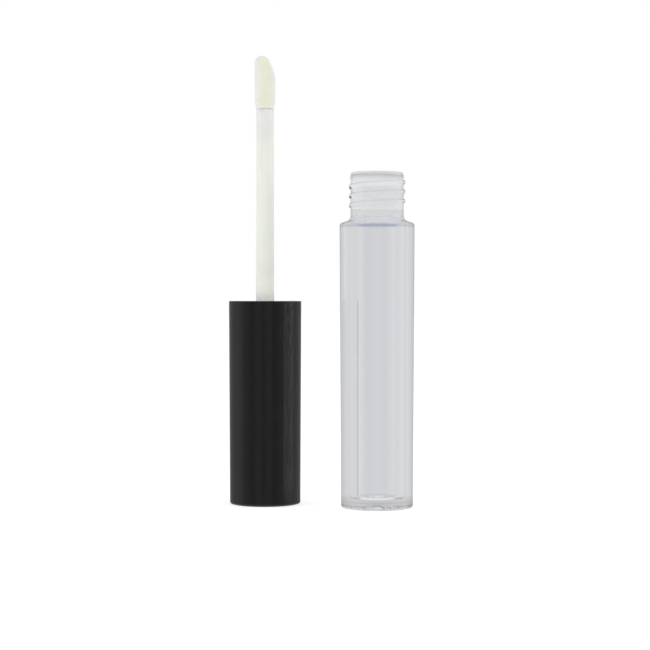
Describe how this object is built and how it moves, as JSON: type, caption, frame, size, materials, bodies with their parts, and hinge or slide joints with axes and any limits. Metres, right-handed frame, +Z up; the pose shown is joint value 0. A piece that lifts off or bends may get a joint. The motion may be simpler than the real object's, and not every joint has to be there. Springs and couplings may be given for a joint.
{
  "type": "lip gloss tube",
  "caption": "Clear screw-neck lip gloss tube with a wiper, beside its gloss black cap, which stands on its closed end and carries the wand and flocked doe-foot.",
  "frame": {"origin": "on the floor, under the middle of the box that holds the bottle and the standing cap", "axes": "+Z up along both pieces' axes, +X from the cap's side to the bottle's side, +Y from the front to the back"},
  "size_m": [0.0438, 0.0254, 0.1063],
  "materials": {
    "clear_plastic": "clear, polished",
    "soft_natural_plastic": "milky, satin",
    "gloss_black_plastic": "gloss",
    "liner_plastic": "satin",
    "gasket_foam": "fine closed-cell foam",
    "natural_plastic": "translucent, satin",
    "core_plastic": "satin",
    "flocking_glue": "dried glue",
    "flock": "short nylon flock"
  },
  "bodies": {
    "bottle": {"bottle": "clear_plastic"},
    "wiper": {"wiper": "soft_natural_plastic"},
    "cap_seal": {"cap_gasket": "gasket_foam"},
    "applicator": {"outer_cap": "gloss_black_plastic", "inner_cap": "liner_plastic", "wand_stem": "natural_plastic", "applicator_core": "core_plastic", "adhesive_bead": "flocking_glue", "flock_tip": "flock"}
  },
  "joints": [
    {"name": "wiper_pull", "type": "slide", "parent": "bottle", "child": "wiper", "axis": [0, 0, 1], "range_m": [0, 0.0125]},
    {"name": "applicator_turn_over", "type": "hinge", "parent": "bottle", "child": "cap_seal", "pos_m": [-0.00007, 0.00007, 0.0995], "axis": [0.29, 0.957, 0], "range_deg": [0, 180]},
    {"name": "cap_turn", "type": "hinge", "parent": "cap_seal", "child": "applicator", "pos_m": [-0.01328, 0.00407, 0], "axis": [0, 0, 1], "range_deg": [0, 900]}
  ]
}
